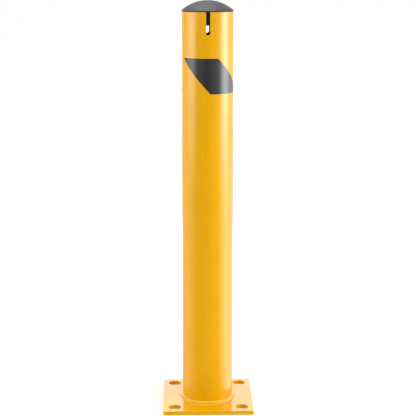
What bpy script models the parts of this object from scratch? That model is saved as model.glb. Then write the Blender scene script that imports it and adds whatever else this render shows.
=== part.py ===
"""Surface-mounted pipe bollard: a steel post welded to a base plate, with a chain slot at the front and
the back, a lift-off domed cap and two slanted patches of hazard tape.

Metres, +Z up. The origin is the centre of the base plate's underside, and the front faces -Y.
"""

import math

import bmesh
import bpy

INCH = 0.0254

# Post and base plate
OVERALL_HEIGHT = 36 * INCH
PIPE_DIAMETER = 4.5 * INCH
PIPE_WALL = 0.1875 * INCH
PLATE_SIDE = 8 * INCH
PLATE_THICKNESS = 0.375 * INCH
PLATE_CORNER_RADIUS = 0.003
ANCHOR_HOLE_DIAMETER = 1.125 * INCH
ANCHOR_HOLE_SPACING = 6 * INCH
WELD_LEG = 0.24 * INCH
WELD_CROWN = 0.0008
EDGE_CHAMFER = 0.0006

# Chain slots, open at the post's top edge and round at the bottom
SLOT_WIDTH = 0.0088
SLOT_DEPTH = 0.049
SLOT_CUTTER_OVERRUN = 0.02
RING_BELOW_SLOTS = 0.01

# Cap: a dome on the post's top edge, and a skirt with grip beads that plugs into the bore
CAP_RISE = 0.024
CAP_RIM_INSET = 0.0004
CAP_CROWN_RADIUS = 0.086
CAP_SHOULDER_RADIUS = 0.002
CAP_WALL = 0.0032
CAP_SKIRT_DEPTH = 0.028
CAP_SKIRT_CLEARANCE = 0.0014
CAP_SKIRT_LEAD_IN = 0.0015
CAP_BEAD_COUNT = 3
CAP_BEAD_FIRST_DEPTH = 0.006
CAP_BEAD_PITCH = 0.007

# Hazard tape, measured on the unrolled surface of the post
TAPE_NAMES = ("front_stripe", "rear_stripe")
TAPE_HEIGHT = 3 * INCH
TAPE_COLUMN = 0.00343
TAPE_TOP_COLUMNS = 25
TAPE_LEFT_COLUMNS = 20
TAPE_RIGHT_COLUMNS = 22
TAPE_BELOW_POST_TOP = 0.098
TAPE_THICKNESS = 0.0003
TAPE_TURN = math.radians(17.3)

# Gap kept between pieces that touch, and the facets of round shapes
SEAT_GAP = 0.0003
ROUND_STEPS = 72
HOLE_STEPS = 32
CORNER_STEPS = 4
SLOT_END_STEPS = 12
WELD_STEPS = 4
DOME_STEPS = 9
SHOULDER_STEPS = 3
BEAD_STEPS = 4
SHARP_ANGLE = math.radians(30)
MERGE_DISTANCE = 0.00001

# Paint and plastics: linear colour, roughness, metallic
YELLOW_COAT = ((0.815, 0.405, 0.002), 0.22, 0.0)
BLACK_PLASTIC = ((0.035, 0.035, 0.036), 0.5, 0.0)
BLACK_TAPE = ((0.026, 0.026, 0.026), 0.3, 0.0)

# Sizes that follow from the driving dimensions
PIPE_RADIUS = PIPE_DIAMETER / 2
BORE_RADIUS = PIPE_RADIUS - PIPE_WALL
PIPE_TOP = OVERALL_HEIGHT - CAP_RISE
PIPE_BOTTOM = PLATE_THICKNESS + SEAT_GAP
PIPE_LENGTH = PIPE_TOP - PIPE_BOTTOM
TAPE_COLUMNS = TAPE_TOP_COLUMNS + TAPE_RIGHT_COLUMNS
TAPE_LENGTH = TAPE_COLUMNS * TAPE_COLUMN
TAPE_TOP_EDGE = TAPE_TOP_COLUMNS * TAPE_COLUMN
TAPE_LEFT_SLANT = TAPE_LEFT_COLUMNS * TAPE_COLUMN
TAPE_RIGHT_SLANT = TAPE_RIGHT_COLUMNS * TAPE_COLUMN


def clear_scene():
    for old in list(bpy.data.objects):
        bpy.data.objects.remove(old, do_unlink=True)


def new_collection(name):
    collection = bpy.data.collections.new(name)
    bpy.context.scene.collection.children.link(collection)
    return collection


def new_material(name, finish):
    colour, roughness, metallic = finish
    material = bpy.data.materials.new(name)
    material.use_nodes = True
    shader = material.node_tree.nodes["Principled BSDF"]
    shader.inputs["Base Color"].default_value = (*colour, 1.0)
    shader.inputs["Roughness"].default_value = roughness
    shader.inputs["Metallic"].default_value = metallic
    return material


def new_object(name, data, collection, location=(0, 0, 0)):
    thing = bpy.data.objects.new(name, data)
    thing.location = location
    collection.objects.link(thing)
    return thing


def arc(centre, radius, start, end, steps):
    """Points on a circle in a plane, its angles in degrees counted from the first axis."""
    points = []
    for step in range(steps + 1):
        angle = math.radians(start + (end - start) * step / steps)
        points.append((centre[0] + radius * math.cos(angle), centre[1] + radius * math.sin(angle)))
    return points


def evaluated_mesh(thing):
    bpy.context.view_layer.update()
    graph = bpy.context.evaluated_depsgraph_get()
    return bpy.data.meshes.new_from_object(thing.evaluated_get(graph))


def shade(mesh):
    mesh.shade_smooth()
    mesh.set_sharp_from_angle(angle=SHARP_ANGLE)


def settle(thing):
    """Puts the mesh that an object's modifiers make in their place."""
    mesh = evaluated_mesh(thing)
    mesh.name = thing.name
    thing.modifiers.clear()
    thing.data = mesh
    shade(mesh)
    return thing


def turned(name, profile, is_ring, collection, location):
    """A profile of (radius, height) points, turned about Z. A ring's profile closes on itself."""
    count = len(profile)
    edges = [(point, point + 1) for point in range(count - 1)]
    if is_ring:
        edges.append((count - 1, 0))
    mesh = bpy.data.meshes.new(name)
    mesh.from_pydata([(radius, 0, height) for radius, height in profile], edges, [])
    thing = new_object(name, mesh, collection, location)
    screw = thing.modifiers.new("Turn", "SCREW")
    screw.axis = "Z"
    screw.angle = math.tau
    screw.steps = ROUND_STEPS
    screw.render_steps = ROUND_STEPS
    screw.use_merge_vertices = True
    screw.merge_threshold = MERGE_DISTANCE
    return thing


def flat_shape(name, outlines, thickness, chamfer, collection, location, rotation=(0, 0, 0)):
    """A plate from closed outlines, as a mesh. Outlines inside the first one are holes."""
    curve = bpy.data.curves.new(name + "_outline", "CURVE")
    curve.dimensions = "2D"
    curve.fill_mode = "BOTH"
    curve.extrude = thickness / 2 - chamfer
    curve.bevel_depth = chamfer
    curve.bevel_resolution = 0
    for outline in outlines:
        spline = curve.splines.new("POLY")
        spline.points.add(len(outline) - 1)
        spline.use_cyclic_u = True
        for point, (x, y) in zip(spline.points, outline):
            point.co = (x, y, 0, 1)
    drawn = new_object(name + "_outline", curve, collection, location)
    drawn.rotation_euler = rotation
    mesh = evaluated_mesh(drawn)
    mesh.name = name
    welded = bmesh.new()
    welded.from_mesh(mesh)
    bmesh.ops.remove_doubles(welded, verts=welded.verts, dist=MERGE_DISTANCE)
    bmesh.ops.recalc_face_normals(welded, faces=welded.faces)
    welded.to_mesh(mesh)
    welded.free()
    thing = new_object(name, mesh, collection)
    thing.matrix_world = drawn.matrix_world
    bpy.data.objects.remove(drawn, do_unlink=True)
    shade(mesh)
    return thing


def slot_cutter(collection):
    """One long bar with a round lower edge, which cuts both slots, drawn down from the post's top."""
    half_width = SLOT_WIDTH / 2
    outline = [(half_width, SLOT_CUTTER_OVERRUN), (-half_width, SLOT_CUTTER_OVERRUN)]
    outline += arc((0, half_width - SLOT_DEPTH), half_width, 180, 360, SLOT_END_STEPS)
    length = PIPE_DIAMETER + 2 * SLOT_CUTTER_OVERRUN
    upright = (math.pi / 2, 0, 0)
    cutter = flat_shape("slot_cutter", [outline], length, 0, collection, (0, 0, PIPE_TOP), upright)
    cutter.hide_render = True
    cutter.display_type = "WIRE"
    return cutter


def post_pipe(parts, cutters):
    """The tube, with its ends eased and a ring of points below the slots."""
    below_slots = PIPE_LENGTH - SLOT_DEPTH - RING_BELOW_SLOTS
    profile = [
        (PIPE_RADIUS - EDGE_CHAMFER, PIPE_LENGTH),
        (PIPE_RADIUS, PIPE_LENGTH - EDGE_CHAMFER),
        (PIPE_RADIUS, below_slots),
        (PIPE_RADIUS, 0),
        (BORE_RADIUS, 0),
        (BORE_RADIUS, below_slots),
        (BORE_RADIUS, PIPE_LENGTH - EDGE_CHAMFER),
        (BORE_RADIUS + EDGE_CHAMFER, PIPE_LENGTH),
    ]
    pipe = turned("post_pipe", profile, True, parts, (0, 0, PIPE_BOTTOM))
    slots = pipe.modifiers.new("Chain slots", "BOOLEAN")
    slots.operation = "DIFFERENCE"
    slots.solver = "EXACT"
    slots.object = slot_cutter(cutters)
    return settle(pipe)


def base_plate(parts):
    """The square plate and its four anchor holes. The chamfer widens each outline by its own width."""
    middle = PLATE_SIDE / 2 - PLATE_CORNER_RADIUS
    corner_radius = PLATE_CORNER_RADIUS - EDGE_CHAMFER
    corners = ((middle, middle), (-middle, middle), (-middle, -middle), (middle, -middle))
    outer = []
    for quarter, corner in enumerate(corners):
        outer += arc(corner, corner_radius, 90 * quarter, 90 * quarter + 90, CORNER_STEPS)
    outlines = [outer]
    offset = ANCHOR_HOLE_SPACING / 2
    hole_radius = ANCHOR_HOLE_DIAMETER / 2 + EDGE_CHAMFER
    for side in (-1, 1):
        for end in (-1, 1):
            circle = arc((side * offset, end * offset), hole_radius, 0, 360, HOLE_STEPS)
            outlines.append(circle[:-1])
    raised = (0, 0, PLATE_THICKNESS / 2)
    return flat_shape("base_plate", outlines, PLATE_THICKNESS, EDGE_CHAMFER, parts, raised)


def base_weld(parts):
    """The fillet bead in the corner of post and plate, its face slightly crowned."""
    inner = PIPE_RADIUS + SEAT_GAP
    outer = PIPE_RADIUS + WELD_LEG
    profile = []
    for step in range(WELD_STEPS + 1):
        share = step / WELD_STEPS
        swell = WELD_CROWN * math.sin(math.pi * share) / math.sqrt(2)
        radius = inner + (outer - inner) * share + swell
        height = WELD_LEG + (SEAT_GAP - WELD_LEG) * share + swell
        profile.append((radius, height))
    profile.append((inner, SEAT_GAP))
    return settle(turned("base_weld", profile, True, parts, (0, 0, PLATE_THICKNESS)))


def top_cap(parts):
    """The moulded cap, its heights counted from the post's top edge. Its crown runs into a round shoulder."""
    crown_centre = (0, CAP_RISE - CAP_CROWN_RADIUS)
    rim_radius = PIPE_RADIUS - CAP_RIM_INSET
    shoulder_x = rim_radius - CAP_SHOULDER_RADIUS
    shoulder_lift = math.sqrt((CAP_CROWN_RADIUS - CAP_SHOULDER_RADIUS) ** 2 - shoulder_x ** 2)
    shoulder_centre = (shoulder_x, crown_centre[1] + shoulder_lift)
    shoulder_angle = math.degrees(math.atan2(shoulder_lift, shoulder_x))
    skirt_radius = BORE_RADIUS - CAP_SKIRT_CLEARANCE
    inside_radius = skirt_radius - CAP_WALL
    inner_crown_radius = CAP_CROWN_RADIUS - CAP_WALL
    inner_angle = math.degrees(math.acos(inside_radius / inner_crown_radius))
    bead_height = CAP_SKIRT_CLEARANCE - SEAT_GAP
    profile = arc(crown_centre, CAP_CROWN_RADIUS, 90, shoulder_angle, DOME_STEPS)
    profile[0] = (0, CAP_RISE)
    profile += arc(shoulder_centre, CAP_SHOULDER_RADIUS, shoulder_angle, 0, SHOULDER_STEPS)[1:]
    profile.append((rim_radius, SEAT_GAP + EDGE_CHAMFER))
    profile.append((rim_radius - EDGE_CHAMFER, SEAT_GAP))
    profile.append((skirt_radius, SEAT_GAP))
    for bead in range(CAP_BEAD_COUNT):
        depth = CAP_BEAD_FIRST_DEPTH + bead * CAP_BEAD_PITCH
        profile += arc((skirt_radius, -depth), bead_height, 90, -90, BEAD_STEPS)
    profile.append((skirt_radius, CAP_SKIRT_LEAD_IN - CAP_SKIRT_DEPTH))
    profile.append((skirt_radius - CAP_SKIRT_LEAD_IN / 2, -CAP_SKIRT_DEPTH))
    profile.append((inside_radius, -CAP_SKIRT_DEPTH))
    profile += arc(crown_centre, inner_crown_radius, inner_angle, 90, DOME_STEPS - 2)
    profile[-1] = (0, CAP_RISE - CAP_WALL)
    return settle(turned("top_cap", profile, False, parts, (0, 0, 0)))


def tape_edges(along):
    """The lower and upper edge of the slanted patch, at a distance along it from its upper left corner."""
    half = TAPE_HEIGHT / 2
    lower = half - TAPE_HEIGHT * min(along / TAPE_LEFT_SLANT, 1)
    upper = half - TAPE_HEIGHT * max((along - TAPE_TOP_EDGE) / TAPE_RIGHT_SLANT, 0)
    return lower, upper


def tape_mesh():
    """One patch, bent round the post about its own middle. Its corners fall on columns of the grid."""
    radius = PIPE_RADIUS + SEAT_GAP
    sheet = bmesh.new()
    bmesh.ops.create_grid(sheet, x_segments=TAPE_COLUMNS, y_segments=1, size=0.5)
    for vertex in sheet.verts:
        lower, upper = tape_edges((vertex.co.x + 0.5) * TAPE_LENGTH)
        height = upper if vertex.co.y > 0 else lower
        turn = vertex.co.x * TAPE_LENGTH / PIPE_RADIUS
        vertex.co = (radius * math.sin(turn), -radius * math.cos(turn), height)
    bmesh.ops.remove_doubles(sheet, verts=sheet.verts, dist=MERGE_DISTANCE)
    mesh = bpy.data.meshes.new("hazard_tape")
    sheet.to_mesh(mesh)
    sheet.free()
    return mesh


def hazard_stripes(parts):
    """The patches, spaced evenly round the post."""
    middle = PIPE_TOP - TAPE_BELOW_POST_TOP - TAPE_HEIGHT / 2
    stripes = []
    for number, name in enumerate(TAPE_NAMES):
        stripe = new_object(name, tape_mesh(), parts, (0, 0, middle))
        stripe.rotation_euler = (0, 0, TAPE_TURN + number * math.tau / len(TAPE_NAMES))
        film = stripe.modifiers.new("Film", "SOLIDIFY")
        film.thickness = TAPE_THICKNESS
        film.offset = 1
        film.use_even_offset = True
        stripes.append(settle(stripe))
    return stripes


def build():
    clear_scene()
    parts = new_collection("pipe_bollard")
    cutters = new_collection("cutters")
    bollard = new_object("bollard_base", None, parts)
    cap_seat = new_object("cap_lift", None, parts, (0, 0, PIPE_TOP))
    cap_seat.parent = bollard

    pipe = post_pipe(parts, cutters)
    plate = base_plate(parts)
    weld = base_weld(parts)
    cap = top_cap(parts)
    stripes = hazard_stripes(parts)

    for piece in (pipe, plate, weld, *stripes):
        piece.parent = bollard
    cap.parent = cap_seat
    for piece in (pipe, plate, weld):
        piece.data.materials.append(new_material(piece.name + "_coat", YELLOW_COAT))
    cap.data.materials.append(new_material("cap_plastic", BLACK_PLASTIC))
    for piece in stripes:
        piece.data.materials.append(new_material(piece.name + "_film", BLACK_TAPE))


build()
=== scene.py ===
"""Looks of the pipe bollard: coated post, plate and weld, moulded cap and hazard tape, in a white studio.

Metres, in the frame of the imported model: +Z up, and the front faces -Y.
"""

import math

import bmesh
import bpy
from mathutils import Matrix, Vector, noise


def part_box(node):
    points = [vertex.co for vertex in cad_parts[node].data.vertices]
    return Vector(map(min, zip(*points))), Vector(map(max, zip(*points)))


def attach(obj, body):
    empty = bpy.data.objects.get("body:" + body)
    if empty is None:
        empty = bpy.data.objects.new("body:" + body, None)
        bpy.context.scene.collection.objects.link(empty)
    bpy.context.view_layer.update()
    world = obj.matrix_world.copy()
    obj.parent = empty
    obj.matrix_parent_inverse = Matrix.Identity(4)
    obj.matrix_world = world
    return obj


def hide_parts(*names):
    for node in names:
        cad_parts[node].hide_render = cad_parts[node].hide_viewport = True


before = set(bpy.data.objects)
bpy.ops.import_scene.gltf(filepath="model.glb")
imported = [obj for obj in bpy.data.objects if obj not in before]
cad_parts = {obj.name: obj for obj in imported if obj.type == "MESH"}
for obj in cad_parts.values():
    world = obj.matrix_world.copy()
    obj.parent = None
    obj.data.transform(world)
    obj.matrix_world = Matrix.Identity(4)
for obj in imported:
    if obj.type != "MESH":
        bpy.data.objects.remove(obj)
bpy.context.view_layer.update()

# Sizes read from the frame
PIPE_LOW, PIPE_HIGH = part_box("post_pipe")
PLATE_LOW, PLATE_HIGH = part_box("base_plate")
WELD_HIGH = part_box("base_weld")[1]
CAP_LOW, CAP_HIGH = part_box("top_cap")
TAPE_LOW, TAPE_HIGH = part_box("front_stripe")
PIPE_RADIUS = PIPE_HIGH.x
POST_TOP = PIPE_HIGH.z
POST_FOOT = PIPE_LOW.z
PLATE_TOP = PLATE_HIGH.z

# Post: wall, slots and the rounding of its coated edges
PIPE_WALL = 0.00476
BORE_RADIUS = PIPE_RADIUS - PIPE_WALL
SLOT_WIDTH = 0.0088
SLOT_DEPTH = 0.049
SLOT_CENTRE = POST_TOP - SLOT_DEPTH + SLOT_WIDTH / 2
EDGE_ROUND = 0.0009
EDGE_STEPS = 4
MOUTH_STEPS = 4
SLOT_ZONE = math.radians(12)
ZONE_COLUMNS = 6
SIDE_COLUMNS = 80
SLOT_ROWS = 7
END_ROWS = 8
PLAIN_ROWS = 14

# Base plate. Inside its outline, faces whose normals rise less than the slope are walls of holes
HOLE_DIAMETER = 0.028575
HOLE_SPACING = 0.1524
PLATE_CORNER = 0.003
PLATE_ROUND = 0.0006
PLATE_ROUND_STEPS = 3
HOLE_WALL_SLOPE = 0.3
CORNER_STEPS = 10
HOLE_STEPS = 72

# Weld bead: a fuller crown between dipped toes, ripples along it, and toes that wander
WELD_LEG = WELD_HIGH.x - PIPE_RADIUS
WELD_CROWN = 0.0012
WELD_TOE_DIP = 0.001
WELD_SINK = 0.0002
WELD_RIPPLES = 112
WELD_RIPPLE_SAMPLES = 6
WELD_RIPPLE_HEIGHT = 0.00016
WELD_RIPPLE_BEND = 0.5
WELD_WANDER = 0.00025
WELD_WANDER_SCALE = 3
WELD_WANDER_SHIFT = Vector((0, 0, 7))
WELD_STEPS = 12

# Cap
CAP_RIM_RADIUS = CAP_HIGH.x
CAP_CROWN_RADIUS = 0.086
CAP_CENTRE = (0, CAP_HIGH.z - CAP_CROWN_RADIUS)
CAP_SHOULDER_RADIUS = 0.002
CAP_WALL = 0.0032
CAP_SEAT_GAP = 0.0003
CAP_SEAT = POST_TOP + CAP_SEAT_GAP
CAP_SKIRT_GAP = 0.0014
CAP_SKIRT_RADIUS = BORE_RADIUS - CAP_SKIRT_GAP
CAP_BEAD = 0.0011
CAP_BEAD_COUNT = 3
CAP_BEAD_FIRST_DEPTH = 0.006
CAP_BEAD_PITCH = 0.007
CAP_ROUND = 0.0007
CAP_TURN_STEPS = 160
DOME_STEPS = 28
SHOULDER_STEPS = 8

# Tape, on the unrolled surface of the post
TAPE_TOP_EDGE = 0.08575
TAPE_LEFT_SLANT = 0.0686
TAPE_RIGHT_SLANT = 0.07546
TAPE_TURN = math.radians(17.3)
TAPE_FILM = 0.0003
TAPE_SINK = 0.0002
TAPE_SHARP_ANGLE = math.radians(40)
TAPE_COLUMNS = 160
TAPE_NAMES = {"front_tape": "front_stripe", "rear_tape": "rear_stripe"}

# Meshes: distance within which points become one, largest share of a side that a rounded corner takes,
# and weight of large faces in the shading
MERGE = 0.000001
ROUND_SHARE = 0.45
SHADING_WEIGHT = 100

# Colours, linear
COAT_YELLOW = (0.815, 0.407, 0.001)
COAT_DEEP = (0.785, 0.382, 0.001)
# Painted shade, partly a thin coat: the darker tone on the walls of the holes
COAT_THIN_SHADED = (0.6, 0.22, 0.001)
# Weld bead: the post's coat painted paler, as a painted sheen
BEAD_SHEEN_YELLOW = (0.83, 0.475, 0.001)
BEAD_SHEEN_DEEP = (0.8, 0.445, 0.001)
STEEL_SCALE = (0.045, 0.04, 0.036)
CAP_BLACK = (0.036, 0.036, 0.0375)
CAP_DEEP = (0.029, 0.029, 0.03)
# Painted shade: the cap's skirt inside the post, and the seam just above it
SKIRT_PAINTED_SHADE = (0.008, 0.008, 0.009)
TAPE_BLACK = (0.026, 0.0255, 0.025)
TAPE_DEEP = (0.021, 0.0205, 0.02)
WHITE = (1, 1, 1, 1)
BLACK = (0, 0, 0, 1)

# Noise: detail, and the part of its range that is used
PLAIN_NOISE = 1
FINE_NOISE = 2
RICH_NOISE = 3
NOISE_LOW = 0.3
NOISE_HIGH = 0.7

# Powder coat: noise scales per metre, and depths of the long waves and the fine peel
COAT_CLOUD_SCALE = 14
COAT_ROUGHNESS_SCALE = 60
COAT_ROUGHNESS = (0.1, 0.15)
COAT_GLOSS = 0.95
COAT_FLOW_SCALE = 70
COAT_FLOW_DEPTH = 0.00006
COAT_PEEL_SCALE = 420
COAT_PEEL_DEPTH = 0.00002

# Thin coat in the holes, darker in patches as painted shade
THIN_PATCH_SCALE = 220
THIN_PATCHES = (0.5, 0.75)
THIN_ROUGHNESS_SCALE = 160
THIN_ROUGHNESS = (0.5, 0.7)
THIN_GLOSS = 0.2
THIN_GRAIN_SCALE = 300
THIN_GRAIN_DEPTH = 0.00006

# Bore: overspray reaches down from the top
SPRAY_DEPTH = 0.03
SPRAY_MOST = 0.8
BORE_ROUGHNESS_SCALE = 90
BORE_ROUGHNESS = (0.5, 0.75)
BORE_GRAIN_SCALE = 160
BORE_GRAIN_DEPTH = 0.00008

# Cap's plastic: painted shade, near black on the skirt inside the post, fading out a short way above the
# post's top
CAP_SHADE_FADE = 0.0012
CAP_CLOUD_SCALE = 40
CAP_ROUGHNESS_SCALE = 120
CAP_ROUGHNESS = (0.46, 0.56)
CAP_GRAIN_SCALE = 900
CAP_GRAIN_DEPTH = 0.00006

# Tape's film, under a clear topcoat
TAPE_CLOUD_SCALE = 30
TAPE_ROUGHNESS_SCALE = 80
TAPE_ROUGHNESS = (0.46, 0.54)
TAPE_GLOSS = 0.5
TAPE_TOPCOAT = 1
TAPE_TOPCOAT_IOR = 1.62
TAPE_TOPCOAT_ROUGHNESS = 0.12
TAPE_GRAIN_SCALE = 200
TAPE_GRAIN_DEPTH = 0.00003

# World and floor: soft light from all round, white background, and the floor's glow by distance
AMBIENT = 0.42
BACKGROUND = 1.0
FLOOR_RADIUS = 60
FLOOR_STEPS = 96
FLOOR_GREY = (0.85, 0.85, 0.85, 1)
FLOOR_ROUGHNESS = 0.9
GLOW_NEAR = 0.12
GLOW_FAR = 0.64
GLOW_START = 0.25
GLOW_END = 1.3
GLOW_IN_HOLES = 0.2
PLATE_MARGIN = 0.008

# Cards round the post, from just outside the plate
CARD_COLUMNS = 310
CARD_GAP = 0.0005
CARD_INNER = PLATE_HIGH.x + CARD_GAP
CARD_RADIUS = 1.0
CARD_LIFT = 0.0004
CARD_HEIGHT = 1.0

# Brightness of those cards at the floor and at their top, by direction in degrees to the right of the front
CARD_GLOWS = (
    (-155, 0.4, 1.0), (-116, 0.5, 0.6), (-88, 0.65, 0.7), (-62, 0.2, 0.45), (-45, 0, 0.22), (-17, 0, 0.2),
    (-14, 0, 0), (13, 0, 0), (15, 0, 0.22), (46, 0, 0.26),
    (66, 1.05, 1.2), (88, 2.2, 2.2), (120, 1.15, 1.0), (155, 1.0, 0.7),
)

# Lamps that light surfaces and don't show in reflections
FILLS = {
    "left_fill": {"place": (-1.52, -0.24, 0.55), "aim": (0, 0, 0.3), "size": (1.4, 0.7), "radiance": 3.75},
    "right_fill": {"place": (1.38, -0.76, 0.65), "aim": (0, 0, 0.3), "size": (1.4, 0.7), "radiance": 4.95},
    "top_fill": {"place": (0, -0.25, 1.9), "aim": (0, -0.05, 0), "size": (0.8, 0.8), "radiance": 1.75},
    "low_fill": {"place": (0.95, -0.4, 0.25), "aim": (0, 0, 0.05), "size": (0.3, 0.2), "radiance": 2.8},
    "back_fill": {"place": (0, 1.7, 0.7), "aim": (0, 0, 0.4), "size": (1.4, 0.7), "radiance": 2.4},
}

# Lamps that only show in reflections, and the shares of their height between which they brighten
STRIPS = {
    "right_strip": {"place": (0.5, -0.14, 0.5), "aim": (0, -0.14, 0.5), "size": (0.6, 1.0), "radiance": 2.9},
    "left_strip": {"place": (-0.5, -0.18, 0.5), "aim": (0, -0.18, 0.5), "size": (0.7, 1.0), "radiance": 1.5},
}
STRIP_RISES = {"right_strip": (0.32, 0.78), "left_strip": (0.38, 0.86)}
STRIP_MIDDLE = 0.5

# Lamps that do both
PANELS = {
    "back_panel": {"place": (0, 1.8, 0.8), "aim": (0, 0, 0.1), "size": (2.0, 1.0), "radiance": 0.8},
    "top_box": {"place": (-0.1, 0.05, 1.6), "aim": (0, 0, 0.9), "size": (0.7, 0.7), "radiance": 2.6},
}

# Power of a lamp of one square metre at a radiance of 1
POWER_PER_AREA = 4

# Camera, a long lens a little above the cap
CAMERA_TURN = math.radians(-1.25)
CAMERA_DISTANCE = 2.5
CAMERA_HEIGHT = 0.993
CAMERA_AIM = Vector((0.001, 0, 0.454))
CAMERA_LENS = 98.4
CAMERA_SENSOR = 36


# Helpers

def steps(start, end, count):
    """Evenly spaced values from start to end, both included."""
    return [start + (end - start) * step / count for step in range(count + 1)]


def circle_points(centre, radius, start, end, count):
    """Points along an arc."""
    points = []
    for angle in steps(start, end, count):
        points.append((centre[0] + radius * math.cos(angle), centre[1] + radius * math.sin(angle)))
    return points


def around(angle, radius, height):
    """A point round the post's axis."""
    return radius * math.cos(angle), radius * math.sin(angle), height


def add_grid(shape, rows, material=0):
    """Quads between neighbouring rows of points."""
    grid = [[shape.verts.new(point) for point in row] for row in rows]
    for upper, lower in zip(grid, grid[1:]):
        for column in range(len(upper) - 1):
            corners = (upper[column], lower[column], lower[column + 1], upper[column + 1])
            face = shape.faces.new(corners)
            face.material_index = material


def closed_mesh(name, shape):
    """Welds a shape's seams, turns its faces outwards and makes it a mesh."""
    bmesh.ops.remove_doubles(shape, verts=shape.verts, dist=MERGE)
    bmesh.ops.recalc_face_normals(shape, faces=shape.faces)
    mesh = bpy.data.meshes.new(name)
    shape.to_mesh(mesh)
    shape.free()
    return mesh


def linked_object(name, data):
    """A new object in the scene."""
    thing = bpy.data.objects.new(name, data)
    bpy.context.scene.collection.objects.link(thing)
    return thing


def new_piece(name, mesh, body, node, materials):
    """A smooth piece with the given materials that rides on a body, in place of a CAD node, which it hides.
    """
    piece = linked_object(name, mesh)
    for material in materials:
        mesh.materials.append(material)
    mesh.shade_smooth()
    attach(piece, body)
    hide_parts(node)
    return piece


def even_shading(piece):
    """Large faces set the shading where they meet narrow rounded edges."""
    modifier = piece.modifiers.new("Even shading", "WEIGHTED_NORMAL")
    modifier.mode = "FACE_AREA"
    modifier.weight = SHADING_WEIGHT
    modifier.keep_sharp = True


def evaluated_mesh(thing):
    """The final shape of a curve or other object, as a mesh of its own."""
    bpy.context.view_layer.update()
    graph = bpy.context.evaluated_depsgraph_get()
    return bpy.data.meshes.new_from_object(thing.evaluated_get(graph))


# The post

def slot_half_width(height, offset):
    """Half a slot's opening at a height, on the outline a distance outside its edge."""
    radius = SLOT_WIDTH / 2 + offset
    below = SLOT_CENTRE - height
    if below <= 0:
        return radius
    if below > radius - MERGE:
        return 0.0
    return math.sqrt(radius ** 2 - below ** 2)


def wall_point(turn, height, radius):
    """A point on the wall's right half. Near a slot the columns move aside for its opening."""
    opening = math.asin(slot_half_width(height, EDGE_ROUND) / radius)
    near = min(turn, math.pi - turn)
    if near < SLOT_ZONE:
        near = opening + near / SLOT_ZONE * (SLOT_ZONE - opening)
    angle = near if turn < math.pi / 2 else math.pi - near
    return radius * math.sin(angle), -radius * math.cos(angle), height


def half_turns():
    """Directions of the wall's columns, from the front slot round the right side to the rear slot."""
    zone = steps(0, SLOT_ZONE, ZONE_COLUMNS)[:-1]
    side = steps(SLOT_ZONE, math.pi - SLOT_ZONE, SIDE_COLUMNS)
    return zone + side + [math.pi - turn for turn in reversed(zone)]


def slot_heights():
    """Heights along a slot's straight edges, from the top."""
    return steps(POST_TOP - EDGE_ROUND, SLOT_CENTRE, SLOT_ROWS)


def wall_heights():
    """Heights of the wall's rows of points, from the top, close together round the slots' ends."""
    end_radius = SLOT_WIDTH / 2 + EDGE_ROUND
    round_end = [SLOT_CENTRE - end_radius * math.sin(angle) for angle in steps(0, math.pi / 2, END_ROWS)[1:]]
    return slot_heights() + round_end + steps(round_end[-1], POST_FOOT, PLAIN_ROWS)[1:]


def slot_edge(offset):
    """One side of a slot's edge as (x, z), from its foot up and out to the post's top edge."""
    radius = SLOT_WIDTH / 2 + offset
    edge = []
    for angle in steps(0, math.pi / 2, END_ROWS)[:-1]:
        edge.append((radius * math.sin(angle), SLOT_CENTRE - radius * math.cos(angle)))
    for height in reversed(slot_heights()):
        edge.append((radius, height))
    mouth = EDGE_ROUND - offset
    for angle in steps(math.pi / 2, 0, MOUTH_STEPS)[1:]:
        x = SLOT_WIDTH / 2 + EDGE_ROUND - mouth * math.sin(angle)
        edge.append((x, POST_TOP - EDGE_ROUND + mouth * math.cos(angle)))
    return edge


def edge_line(offset, radius):
    """The right half of the edge, from the front slot's foot over the post's top to the rear slot's."""
    slot = slot_edge(offset)
    front = [(x, -math.sqrt(radius ** 2 - x ** 2), z) for x, z in slot]
    rear = [(x, -y, z) for x, y, z in reversed(front)]
    rim = []
    for turn in half_turns()[1:-1]:
        x, y, _ = wall_point(turn, POST_TOP - EDGE_ROUND, radius)
        rim.append((x, y, POST_TOP - offset))
    return front + rim + rear


def edge_profile():
    """Rounded outer edge and rounded inner edge, as (distance outside the slot's edge, radius)."""
    profile = []
    for angle in steps(0, math.pi / 2, EDGE_STEPS):
        offset = EDGE_ROUND * (1 - math.sin(angle))
        profile.append((offset, PIPE_RADIUS - EDGE_ROUND * (1 - math.cos(angle))))
    for angle in steps(math.pi / 2, 0, EDGE_STEPS):
        offset = EDGE_ROUND * (1 - math.sin(angle))
        profile.append((offset, BORE_RADIUS + EDGE_ROUND * (1 - math.cos(angle))))
    return profile


def post_tube(coat, bore):
    """The slotted tube, made as a right half and its mirror image."""
    turns = half_turns()
    heights = wall_heights()
    outside = [[wall_point(turn, height, PIPE_RADIUS) for turn in turns] for height in heights]
    inside = [[wall_point(turn, height, BORE_RADIUS) for turn in turns] for height in heights]
    edge = [edge_line(offset, radius) for offset, radius in edge_profile()]
    shape = bmesh.new()
    for side in (1, -1):
        for rows, material in ((outside, 0), (inside, 1), (edge, 0), ([outside[-1], inside[-1]], 1)):
            add_grid(shape, [[(side * x, y, z) for x, y, z in row] for row in rows], material)
    mesh = closed_mesh("post_tube", shape)
    piece = new_piece("post_tube", mesh, "post", "post_pipe", [coat, bore])
    even_shading(piece)


# The base plate

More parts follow.
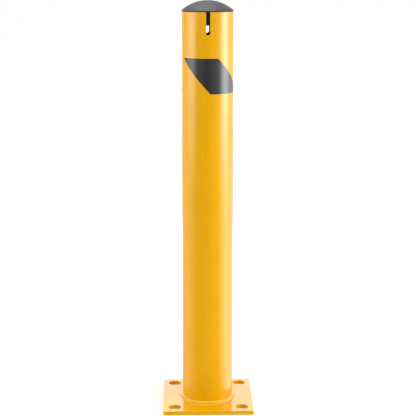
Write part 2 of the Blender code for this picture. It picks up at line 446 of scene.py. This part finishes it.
def plate_outlines():
    """The rounded square and its holes, drawn short of the width that their rounded edges add."""
    middle = PLATE_HIGH.x - PLATE_CORNER
    square = []
    for quarter, (x, y) in enumerate(((1, 1), (-1, 1), (-1, -1), (1, -1))):
        start = quarter * math.pi / 2
        centre = (x * middle, y * middle)
        square += circle_points(centre, PLATE_CORNER - PLATE_ROUND, start, start + math.pi / 2, CORNER_STEPS)
    outlines = [square]
    hole_radius = HOLE_DIAMETER / 2 + PLATE_ROUND
    for x in (-HOLE_SPACING / 2, HOLE_SPACING / 2):
        for y in (-HOLE_SPACING / 2, HOLE_SPACING / 2):
            outlines.append(circle_points((x, y), hole_radius, 0, math.tau, HOLE_STEPS)[:-1])
    return outlines


def plate_curve():
    """A flat filled curve of the plate's outlines, with its thickness and rounded edges."""
    curve = bpy.data.curves.new("plate_outline", "CURVE")
    curve.dimensions = "2D"
    curve.fill_mode = "BOTH"
    curve.extrude = (PLATE_TOP - PLATE_LOW.z) / 2 - PLATE_ROUND
    curve.bevel_depth = PLATE_ROUND
    curve.bevel_resolution = PLATE_ROUND_STEPS
    for outline in plate_outlines():
        spline = curve.splines.new("POLY")
        spline.points.add(len(outline) - 1)
        spline.use_cyclic_u = True
        for point, (x, y) in zip(spline.points, outline):
            point.co = (x, y, 0, 1)
    return curve


def anchor_plate(coat, shaded_hole_coat):
    drawn = linked_object("plate_outline", plate_curve())
    flat = evaluated_mesh(drawn)
    bpy.data.objects.remove(drawn, do_unlink=True)
    shape = bmesh.new()
    shape.from_mesh(flat)
    bmesh.ops.translate(shape, verts=shape.verts, vec=(0, 0, (PLATE_TOP + PLATE_LOW.z) / 2))
    mesh = closed_mesh("anchor_plate", shape)
    for face in mesh.polygons:
        inside = max(abs(face.center.x), abs(face.center.y)) < PLATE_HIGH.x - PLATE_CORNER
        face.material_index = int(inside and abs(face.normal.z) < HOLE_WALL_SLOPE)
    piece = new_piece("anchor_plate", mesh, "post", "base_plate", [coat, shaded_hole_coat])
    even_shading(piece)


# The weld bead

def weld_ring(angle):
    """The bead's section at an angle round the post: upper toe, lower toe, inner corner, upper toe again."""
    direction = Vector((math.cos(angle), math.sin(angle), 0)) * WELD_WANDER_SCALE
    upper = WELD_LEG + WELD_WANDER * noise.noise(direction)
    outer = WELD_LEG + WELD_WANDER * noise.noise(direction + WELD_WANDER_SHIFT)
    corner = PIPE_RADIUS - WELD_SINK
    foot = PLATE_TOP - WELD_SINK
    ring = []
    for share in steps(0, 1, WELD_STEPS):
        middle = math.sin(math.pi * share)
        toes = middle * math.cos(math.pi * share) ** 2
        phase = angle / math.tau * WELD_RIPPLES + WELD_RIPPLE_BEND * middle
        ripple = WELD_RIPPLE_HEIGHT * middle * (1 - (phase % 1) ** 2)
        swell = (WELD_CROWN * middle ** 2 - WELD_TOE_DIP * toes + ripple) / math.sqrt(2)
        radius = corner + (outer + WELD_SINK) * share + swell
        height = foot + (upper + WELD_SINK) * (1 - share) + swell
        ring.append(around(angle, radius, height))
    ring.append(around(angle, corner, foot))
    ring.append(ring[0])
    return ring


def weld_bead(coat):
    shape = bmesh.new()
    rings = [weld_ring(angle) for angle in steps(0, math.tau, WELD_RIPPLES * WELD_RIPPLE_SAMPLES)]
    add_grid(shape, rings)
    new_piece("weld_bead", closed_mesh("weld_bead", shape), "post", "base_weld", [coat])


# The cap

def softened(points, radius, count):
    """A line of points with each corner between its ends rounded, as far as its sides have room."""
    result = [points[0]]
    for before, corner, after in zip(points, points[1:], points[2:]):
        corner = Vector(corner)
        back = Vector(before) - corner
        ahead = Vector(after) - corner
        half_angle = back.angle(ahead) / 2
        room = ROUND_SHARE * min(back.length, ahead.length)
        reach = min(radius / math.tan(half_angle), room)
        start = corner + back.normalized() * reach
        end = corner + ahead.normalized() * reach
        for share in steps(0, 1, count):
            result.append(start.lerp(corner, share).lerp(corner.lerp(end, share), share).to_tuple())
    result.append(points[-1])
    return result


def cap_dome():
    """The outside of the dome as (radius, height): crown, shoulder and rim, down to the seat."""
    shoulder_x = CAP_RIM_RADIUS - CAP_SHOULDER_RADIUS
    shoulder_lift = math.sqrt((CAP_CROWN_RADIUS - CAP_SHOULDER_RADIUS) ** 2 - shoulder_x ** 2)
    shoulder_centre = (shoulder_x, CAP_CENTRE[1] + shoulder_lift)
    lean = math.atan2(shoulder_lift, shoulder_x)
    rim_centre = (CAP_RIM_RADIUS - CAP_ROUND, CAP_SEAT + CAP_ROUND)
    dome = circle_points(CAP_CENTRE, CAP_CROWN_RADIUS, math.pi / 2, lean, DOME_STEPS)
    dome += circle_points(shoulder_centre, CAP_SHOULDER_RADIUS, lean, 0, SHOULDER_STEPS)[1:]
    return dome + circle_points(rim_centre, CAP_ROUND, 0, -math.pi / 2, SHOULDER_STEPS)


def cap_skirt(inside):
    """The skirt as (radius, height), from the seat down past the grip beads and in to its inside."""
    skirt = [(CAP_SKIRT_RADIUS, CAP_SEAT)]
    for bead in range(CAP_BEAD_COUNT):
        height = POST_TOP - CAP_BEAD_FIRST_DEPTH - bead * CAP_BEAD_PITCH
        skirt.append((CAP_SKIRT_RADIUS, height + CAP_BEAD))
        skirt.append((CAP_SKIRT_RADIUS + CAP_BEAD, height + CAP_BEAD / 2))
        skirt.append((CAP_SKIRT_RADIUS + CAP_BEAD, height - CAP_BEAD / 4))
        skirt.append((CAP_SKIRT_RADIUS, height - 2 * CAP_BEAD))
    skirt.append((CAP_SKIRT_RADIUS, CAP_LOW.z + CAP_BEAD))
    skirt.append((CAP_SKIRT_RADIUS - CAP_BEAD / 2, CAP_LOW.z))
    skirt.append((inside, CAP_LOW.z))
    return skirt


def cap_profile():
    """The cap's section as (radius, height), from the crown over dome and skirt to the hollow's top."""
    inside = CAP_SKIRT_RADIUS - CAP_WALL
    inner_radius = CAP_CROWN_RADIUS - CAP_WALL
    dome = cap_dome()
    lean = math.acos(inside / inner_radius)
    hollow = circle_points(CAP_CENTRE, inner_radius, lean, math.pi / 2, DOME_STEPS)
    skirt = softened([dome[-1], *cap_skirt(inside), *hollow[:2]], CAP_ROUND, EDGE_STEPS)
    crown = (0, CAP_HIGH.z)
    hollow_top = (0, CAP_HIGH.z - CAP_WALL)
    return [crown] + dome[1:-1] + skirt[:-1] + hollow[1:-1] + [hollow_top]


def dome_cap(plastic):
    profile = cap_profile()
    rows = []
    for angle in steps(0, math.tau, CAP_TURN_STEPS):
        rows.append([around(angle, radius, height) for radius, height in profile])
    shape = bmesh.new()
    add_grid(shape, rows)
    piece = new_piece("dome_cap", closed_mesh("dome_cap", shape), "cap", "top_cap", [plastic])
    even_shading(piece)


# The tape

def tape_edges(along):
    """Lower and upper edge of the slanted patch, at a distance along it from its upper left corner."""
    height = TAPE_HIGH.z - TAPE_LOW.z
    lower = TAPE_HIGH.z - height * min(along / TAPE_LEFT_SLANT, 1)
    upper = TAPE_HIGH.z - height * max((along - TAPE_TOP_EDGE) / TAPE_RIGHT_SLANT, 0)
    return lower, upper


def tape_patch(name, node, turn, film):
    """A thin film round the post, with the middle of the patch at a turn from the front."""
    length = TAPE_TOP_EDGE + TAPE_RIGHT_SLANT
    inner = PIPE_RADIUS - TAPE_SINK
    outer = PIPE_RADIUS + TAPE_FILM
    rows = []
    for along in steps(0, length, TAPE_COLUMNS):
        lower, upper = tape_edges(along)
        angle = turn + (along - length / 2) / PIPE_RADIUS
        across = Vector((math.sin(angle), -math.cos(angle), 0))
        section = [(inner, lower), (outer, lower), (outer, upper), (inner, upper), (inner, lower)]
        rows.append([across * radius + Vector((0, 0, height)) for radius, height in section])
    shape = bmesh.new()
    add_grid(shape, rows)
    piece = new_piece(name, closed_mesh(name, shape), "post", node, [film])
    piece.data.set_sharp_from_angle(angle=TAPE_SHARP_ANGLE)


# Parts of materials

def node_material(name):
    """A new material, with its nodes, links and shader."""
    material = bpy.data.materials.new(name)
    material.use_nodes = True
    nodes = material.node_tree.nodes
    return material, nodes, material.node_tree.links, nodes["Principled BSDF"]


def noise_node(nodes, links, scale, detail):
    place = nodes.new("ShaderNodeTexCoord")
    grain = nodes.new("ShaderNodeTexNoise")
    grain.inputs["Scale"].default_value = scale
    grain.inputs["Detail"].default_value = detail
    links.new(place.outputs["Object"], grain.inputs["Vector"])
    return grain.outputs["Fac"]


def ranged(nodes, links, value, low, high, start=NOISE_LOW, end=NOISE_HIGH):
    """Turns a value between start and end into one between low and high."""
    node = nodes.new("ShaderNodeMapRange")
    node.inputs["From Min"].default_value = start
    node.inputs["From Max"].default_value = end
    node.inputs["To Min"].default_value = low
    node.inputs["To Max"].default_value = high
    links.new(value, node.inputs["Value"])
    return node.outputs["Result"]


def combined(nodes, links, operation, first, second):
    """Two values put together by an operation."""
    node = nodes.new("ShaderNodeMath")
    node.operation = operation
    links.new(first, node.inputs[0])
    links.new(second, node.inputs[1])
    return node.outputs["Value"]


def object_height(nodes, links):
    """Height within a piece, which at rest is the height above the floor."""
    place = nodes.new("ShaderNodeTexCoord")
    split = nodes.new("ShaderNodeSeparateXYZ")
    links.new(place.outputs["Object"], split.inputs["Vector"])
    return split.outputs["Z"]


def blended(nodes, links, share, first, second):
    """Mixes two colours, each a written one or another node's."""
    node = nodes.new("ShaderNodeMix")
    node.data_type = "RGBA"
    links.new(share, node.inputs["Factor"])
    for socket, colour in (("A", first), ("B", second)):
        if isinstance(colour, tuple):
            node.inputs[socket].default_value = (*colour, 1)
        else:
            links.new(colour, node.inputs[socket])
    return node.outputs["Result"]


def clouded(nodes, links, scale, detail, pale, deep):
    """A colour that drifts between two tones."""
    share = ranged(nodes, links, noise_node(nodes, links, scale, detail), 0, 1)
    return blended(nodes, links, share, pale, deep)


def roughness(nodes, links, scale, detail, span):
    """A roughness that drifts between two values."""
    return ranged(nodes, links, noise_node(nodes, links, scale, detail), *span)


def relief(nodes, links, scale, detail, depth, normal=None):
    """A fine relief, which lies on top of another one's normal if that is given."""
    node = nodes.new("ShaderNodeBump")
    node.inputs["Distance"].default_value = depth
    links.new(noise_node(nodes, links, scale, detail), node.inputs["Height"])
    if normal is not None:
        links.new(normal, node.inputs["Normal"])
    return node.outputs["Normal"]


# Materials

def powder_coat(name, pale, deep):
    """A glossy coat with faint clouds of tone, long waves and a fine peel."""
    material, nodes, links, shader = node_material(name)
    links.new(clouded(nodes, links, COAT_CLOUD_SCALE, RICH_NOISE, pale, deep), shader.inputs["Base Color"])
    drift = roughness(nodes, links, COAT_ROUGHNESS_SCALE, FINE_NOISE, COAT_ROUGHNESS)
    links.new(drift, shader.inputs["Roughness"])
    shader.inputs["Specular IOR Level"].default_value = COAT_GLOSS
    flow = relief(nodes, links, COAT_FLOW_SCALE, PLAIN_NOISE, COAT_FLOW_DEPTH)
    peel = relief(nodes, links, COAT_PEEL_SCALE, PLAIN_NOISE, COAT_PEEL_DEPTH, flow)
    links.new(peel, shader.inputs["Normal"])
    return material


def thin_shaded_coat():
    """The coat inside the anchor holes: thin where the spray hardly reached, and darker in patches as
    painted shade.
    """
    material, nodes, links, shader = node_material("thin_shaded_coat")
    patches = noise_node(nodes, links, THIN_PATCH_SCALE, RICH_NOISE)
    # Patches of the darker tone: painted shade, partly a thin coat
    thin_and_shaded = ranged(nodes, links, patches, 0, 1, *THIN_PATCHES)
    links.new(blended(nodes, links, thin_and_shaded, COAT_DEEP, COAT_THIN_SHADED), shader.inputs["Base Color"])
    drift = roughness(nodes, links, THIN_ROUGHNESS_SCALE, FINE_NOISE, THIN_ROUGHNESS)
    links.new(drift, shader.inputs["Roughness"])
    shader.inputs["Specular IOR Level"].default_value = THIN_GLOSS
    grain = relief(nodes, links, THIN_GRAIN_SCALE, RICH_NOISE, THIN_GRAIN_DEPTH)
    links.new(grain, shader.inputs["Normal"])
    return material


def bore_steel():
    """Bare steel with mill scale, and overspray of the coat that fades with depth below the top."""
    material, nodes, links, shader = node_material("bore_steel")
    height = object_height(nodes, links)
    spray = ranged(nodes, links, height, 0, SPRAY_MOST, POST_TOP - SPRAY_DEPTH, POST_TOP)
    links.new(blended(nodes, links, spray, STEEL_SCALE, COAT_DEEP), shader.inputs["Base Color"])
    drift = roughness(nodes, links, BORE_ROUGHNESS_SCALE, RICH_NOISE, BORE_ROUGHNESS)
    links.new(drift, shader.inputs["Roughness"])
    grain = relief(nodes, links, BORE_GRAIN_SCALE, RICH_NOISE, BORE_GRAIN_DEPTH)
    links.new(grain, shader.inputs["Normal"])
    return material


def moulded_plastic():
    """Matte grained plastic. Painted shade makes the skirt near black below the post's top and fades out
    just above it.
    """
    material, nodes, links, shader = node_material("moulded_plastic")
    dome_tone = clouded(nodes, links, CAP_CLOUD_SCALE, RICH_NOISE, CAP_BLACK, CAP_DEEP)
    # Painted shade, from the post's top up to a short fade
    outside = ranged(nodes, links, object_height(nodes, links), 0, 1, POST_TOP, POST_TOP + CAP_SHADE_FADE)
    links.new(blended(nodes, links, outside, SKIRT_PAINTED_SHADE, dome_tone), shader.inputs["Base Color"])
    drift = roughness(nodes, links, CAP_ROUGHNESS_SCALE, FINE_NOISE, CAP_ROUGHNESS)
    links.new(drift, shader.inputs["Roughness"])
    grain = relief(nodes, links, CAP_GRAIN_SCALE, FINE_NOISE, CAP_GRAIN_DEPTH)
    links.new(grain, shader.inputs["Normal"])
    return material


def vinyl_film():
    """Black film under a clear topcoat."""
    material, nodes, links, shader = node_material("vinyl_film")
    colour = clouded(nodes, links, TAPE_CLOUD_SCALE, FINE_NOISE, TAPE_BLACK, TAPE_DEEP)
    links.new(colour, shader.inputs["Base Color"])
    drift = roughness(nodes, links, TAPE_ROUGHNESS_SCALE, FINE_NOISE, TAPE_ROUGHNESS)
    links.new(drift, shader.inputs["Roughness"])
    shader.inputs["Specular IOR Level"].default_value = TAPE_GLOSS
    shader.inputs["Coat Weight"].default_value = TAPE_TOPCOAT
    shader.inputs["Coat IOR"].default_value = TAPE_TOPCOAT_IOR
    shader.inputs["Coat Roughness"].default_value = TAPE_TOPCOAT_ROUGHNESS
    grain = relief(nodes, links, TAPE_GRAIN_SCALE, FINE_NOISE, TAPE_GRAIN_DEPTH)
    links.new(grain, shader.inputs["Normal"])
    return material


# The studio

def square_distance(nodes, links):
    """How far out a point lies, measured on squares that line up with the plate."""
    place = nodes.new("ShaderNodeTexCoord")
    size = nodes.new("ShaderNodeVectorMath")
    size.operation = "ABSOLUTE"
    split = nodes.new("ShaderNodeSeparateXYZ")
    links.new(place.outputs["Object"], size.inputs[0])
    links.new(size.outputs["Vector"], split.inputs["Vector"])
    return combined(nodes, links, "MAXIMUM", split.outputs["X"], split.outputs["Y"])


def background_share(nodes, links):
    """1 for the rays that show the background: camera, glossy and transmission rays."""
    path = nodes.new("ShaderNodeLightPath")
    seen = combined(nodes, links, "MAXIMUM", path.outputs["Is Camera Ray"], path.outputs["Is Glossy Ray"])
    return combined(nodes, links, "MAXIMUM", seen, path.outputs["Is Transmission Ray"])


def white_world():
    """A white background that lights surfaces less brightly than it shows."""
    world = bpy.data.worlds.new("studio")
    bpy.context.scene.world = world
    world.use_nodes = True
    nodes = world.node_tree.nodes
    links = world.node_tree.links
    strength = ranged(nodes, links, background_share(nodes, links), AMBIENT, BACKGROUND, 0, 1)
    links.new(strength, nodes["Background"].inputs["Strength"])
    nodes["Background"].inputs["Color"].default_value = WHITE


def pale_floor():
    """A pale floor that keeps the object's shadow. It glows further off, and faintly under the holes."""
    bpy.ops.mesh.primitive_circle_add(vertices=FLOOR_STEPS, radius=FLOOR_RADIUS, fill_type="NGON")
    floor = bpy.context.object
    floor.name = "floor"
    material, nodes, links, shader = node_material("pale_floor")
    shader.inputs["Base Color"].default_value = FLOOR_GREY
    shader.inputs["Roughness"].default_value = FLOOR_ROUGHNESS
    shader.inputs["Specular IOR Level"].default_value = 0
    shader.inputs["Emission Color"].default_value = WHITE
    distance = square_distance(nodes, links)
    glow = ranged(nodes, links, distance, GLOW_NEAR, GLOW_FAR, GLOW_START, GLOW_END)
    in_holes = ranged(nodes, links, distance, GLOW_IN_HOLES, 0, PLATE_HIGH.x - PLATE_MARGIN, PLATE_HIGH.x)
    glow = combined(nodes, links, "MAXIMUM", glow, in_holes)
    shown = combined(nodes, links, "MULTIPLY", glow, background_share(nodes, links))
    links.new(shown, shader.inputs["Emission Strength"])
    floor.data.materials.append(material)


def card_corner(turn):
    """The point on the square round the plate that lies in a direction from the post, front first."""
    reach = CARD_INNER / max(abs(math.sin(turn)), abs(math.cos(turn)))
    return reach * math.sin(turn), -reach * math.cos(turn)


def card_glow(direction, rise):
    """Brightness of the cards in a direction, at a share of their height.

    Just past the last direction it is the last brightness at the floor.
    """
    for (start, *first), (end, *second) in zip(CARD_GLOWS, CARD_GLOWS[1:]):
        if direction <= end:
            share = (direction - start) / (end - start)
            foot, top = (low + (high - low) * share for low, high in zip(first, second))
            return foot + (top - foot) * rise
    return CARD_GLOWS[-1][1]


def card_mesh():
    """The cards' sheet, from the plate's edge over the floor and up, with the brightness of each point."""
    directions = steps(CARD_GLOWS[0][0], CARD_GLOWS[-1][0], CARD_COLUMNS)
    turns = [math.radians(degrees) for degrees in directions]
    rows = [[(*card_corner(turn), CARD_LIFT) for turn in turns]]
    for level in (CARD_LIFT, CARD_HEIGHT):
        rows.append([(CARD_RADIUS * math.sin(turn), -CARD_RADIUS * math.cos(turn), level) for turn in turns])
    shape = bmesh.new()
    add_grid(shape, rows)
    mesh = closed_mesh("card_ring", shape)
    glow = mesh.attributes.new("glow", "FLOAT", "POINT")
    for vertex, value in zip(mesh.vertices, glow.data):
        direction = math.degrees(math.atan2(vertex.co.x, -vertex.co.y))
        value.value = card_glow(direction, vertex.co.z / CARD_HEIGHT)
    return mesh


def card_ring():
    """Glowing cards round the post, open at the back, which only reflections show."""
    mesh = card_mesh()
    card = linked_object("card_ring", mesh)
    material, nodes, links, shader = node_material("card_ring")
    shader.inputs["Base Color"].default_value = BLACK
    shader.inputs["Specular IOR Level"].default_value = 0
    shader.inputs["Emission Color"].default_value = WHITE
    level = nodes.new("ShaderNodeAttribute")
    level.attribute_name = "glow"
    links.new(level.outputs["Fac"], shader.inputs["Emission Strength"])
    mesh.materials.append(material)
    for sight in ("camera", "diffuse", "transmission", "volume_scatter", "shadow"):
        setattr(card, "visible_" + sight, False)


def turned_to(thing, place, aim):
    """Puts a lamp or camera at a place, facing a point."""
    thing.location = place
    thing.rotation_euler = (Vector(aim) - Vector(place)).to_track_quat("-Z", "Y").to_euler()


def softbox(name, place, aim, size, radiance, shine=True, light=True):
    """A rectangular lamp hidden from the camera, which shines in reflections, lights surfaces, or both."""
    width, height = size
    lamp = bpy.data.lights.new(name, "AREA")
    lamp.shape = "RECTANGLE"
    lamp.size = width
    lamp.size_y = height
    lamp.energy = POWER_PER_AREA * width * height * radiance
    thing = linked_object(name, lamp)
    turned_to(thing, place, aim)
    thing.visible_camera = False
    thing.visible_glossy = shine
    thing.visible_diffuse = light
    return lamp


def feathered(lamp, rise):
    """Fades a lamp towards its upright edges, and from a height down towards its foot."""
    lamp.use_nodes = True
    nodes = lamp.node_tree.nodes
    links = lamp.node_tree.links
    place = nodes.new("ShaderNodeNewGeometry")
    split = nodes.new("ShaderNodeSeparateXYZ")
    links.new(place.outputs["Parametric"], split.inputs["Vector"])
    fold = nodes.new("ShaderNodeMath")
    fold.operation = "PINGPONG"
    fold.inputs[1].default_value = STRIP_MIDDLE
    links.new(split.outputs["X"], fold.inputs[0])
    across = ranged(nodes, links, fold.outputs["Value"], 0, 1, 0, STRIP_MIDDLE)
    along = ranged(nodes, links, split.outputs["Y"], 0, 1, *rise)
    for curve in (across, along):
        curve.node.interpolation_type = "SMOOTHSTEP"
    strength = combined(nodes, links, "MULTIPLY", across, along)
    links.new(strength, nodes["Emission"].inputs["Strength"])


def studio_lamps():
    for name, values in FILLS.items():
        softbox(name, **values, shine=False)
    for name, values in STRIPS.items():
        feathered(softbox(name, **values, light=False), STRIP_RISES[name])
    for name, values in PANELS.items():
        softbox(name, **values)


def studio_camera():
    camera = bpy.data.cameras.new("camera")
    camera.lens = CAMERA_LENS
    camera.sensor_width = CAMERA_SENSOR
    thing = linked_object("camera", camera)
    across = Vector((math.sin(CAMERA_TURN), -math.cos(CAMERA_TURN), 0))
    turned_to(thing, across * CAMERA_DISTANCE + Vector((0, 0, CAMERA_HEIGHT)), CAMERA_AIM)
    bpy.context.scene.camera = thing


def build():
    coat = powder_coat("powder_coat", COAT_YELLOW, COAT_DEEP)
    film = vinyl_film()
    post_tube(coat, bore_steel())
    anchor_plate(coat, thin_shaded_coat())
    # The bead's coat is painted paler than the post's, as a painted sheen
    weld_bead(powder_coat("bead_coat_painted_sheen", BEAD_SHEEN_YELLOW, BEAD_SHEEN_DEEP))
    dome_cap(moulded_plastic())
    for number, (name, node) in enumerate(TAPE_NAMES.items()):
        tape_patch(name, node, TAPE_TURN + number * math.pi, film)
    white_world()
    pale_floor()
    card_ring()
    studio_lamps()
    studio_camera()
    bpy.context.scene.view_settings.view_transform = "Standard"


build()
